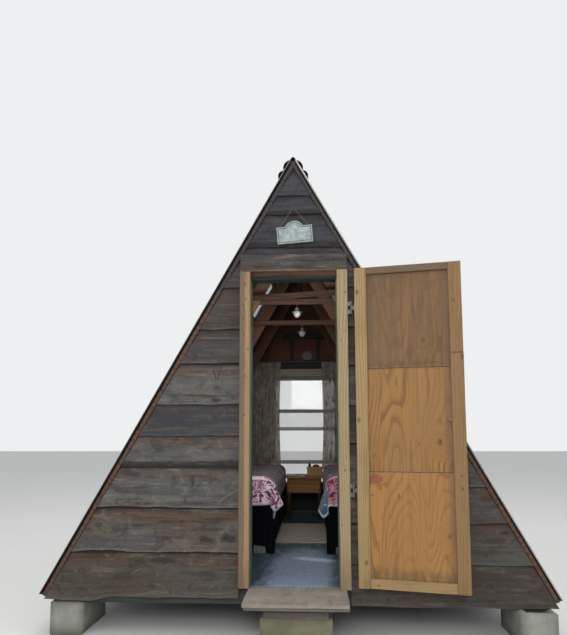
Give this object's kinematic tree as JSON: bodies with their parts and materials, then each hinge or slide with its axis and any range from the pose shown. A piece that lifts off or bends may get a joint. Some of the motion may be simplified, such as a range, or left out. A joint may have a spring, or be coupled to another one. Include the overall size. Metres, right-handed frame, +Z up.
{
  "type": "a-frame cabin",
  "caption": "Small A-frame cabin on concrete blocks with a corrugated roof, lapped front boards, an open plank door and two beds inside.",
  "frame": {"origin": "on the ground, at the middle of the whole part's plan, step included", "axes": "+Z up, +Y from the doorway towards the rear wall, +X to the right seen from the front"},
  "size_m": [3.0532, 3.46, 2.9351],
  "materials": {
    "concrete": "rough moulded concrete",
    "green_lumber": "dark green stained lumber",
    "lumber": "bare lumber",
    "teal_paint": "worn teal floor paint",
    "deck_boards": "bare boards",
    "roof_metal": "pale corrugated sheet",
    "clear_sheet": "translucent corrugated sheet",
    "black_cap": "black corrugated cap",
    "pale_lumber": "pale weathered lumber",
    "weathered_board": "grey weathered board",
    "brown_siding": "dark brown stained boards",
    "white_paint": "worn white paint",
    "window_glass": "clear pane",
    "plaque_wood": "mottled grey green paint",
    "red_brown_lumber": "red brown lumber",
    "plywood": "bare plywood",
    "steel": "dull steel",
    "cord": "twine",
    "mattress": "mattress ticking over foam",
    "navy_cloth": "navy blanket",
    "patchwork": "patchwork quilt",
    "tan_box": "tan box",
    "rug_cloth": "beige rug",
    "curtain_cloth": "thin pale curtain",
    "lamp_metal": "pale shade",
    "bulb_glass": "frosted bulb"
  },
  "bodies": {
    "cabin": {"bed_bases": "lumber", "bed_legs": "pale_lumber", "blankets": "navy_cloth", "collar_ties": "green_lumber", "curtain_rod": "steel", "curtains": "curtain_cloth", "door_header": "green_lumber", "door_posts": "pale_lumber", "door_studs": "green_lumber", "floor_deck": "teal_paint", "floor_joists": "lumber", "foundation_blocks": "concrete", "hinge_pins": "steel", "hinge_post_leaves": "steel", "lamp_bulbs": "bulb_glass", "lamp_shades": "lamp_metal", "lintel_board": "weathered_board", "mattresses": "mattress", "plaque": "plaque_wood", "plaque_cord": "cord", "plaque_nail": "steel", "quilts": "patchwork", "rafters": "green_lumber", "rear_rails": "green_lumber", "rear_sill": "green_lumber", "rear_studs": "green_lumber", "ridge_board": "green_lumber", "ridge_cap": "black_cap", "rim_joists": "green_lumber", "roof_battens": "lumber", "roof_decks": "deck_boards", "roof_sheets": "roof_metal", "rug": "rug_cloth", "sash_lower": "white_paint", "sash_upper": "white_paint", "siding_front": "brown_siding", "siding_gable": "brown_siding", "siding_rear_above": "brown_siding", "siding_rear_below": "brown_siding", "siding_rear_sides": "brown_siding", "skylights": "clear_sheet", "step_block": "concrete", "step_shims": "weathered_board", "step_tread": "pale_lumber", "step_under_board": "weathered_board", "table_box": "tan_box", "table_frame": "green_lumber", "table_top": "pale_lumber", "wall_disc": "steel", "window_frame": "white_paint", "window_glass": "window_glass", "window_head_trim": "pale_lumber"},
    "door": {"door_frame": "red_brown_lumber", "door_panels": "plywood", "door_boards": "weathered_board", "hinge_door_leaves": "steel", "door_latch": "steel"}
  },
  "joints": [
    {"name": "door_hinge", "type": "hinge", "parent": "cabin", "child": "door", "pos_m": [0.348, -1.4365, 1.4], "axis": [0, 0, -1], "range_deg": [0, 168.7]}
  ]
}
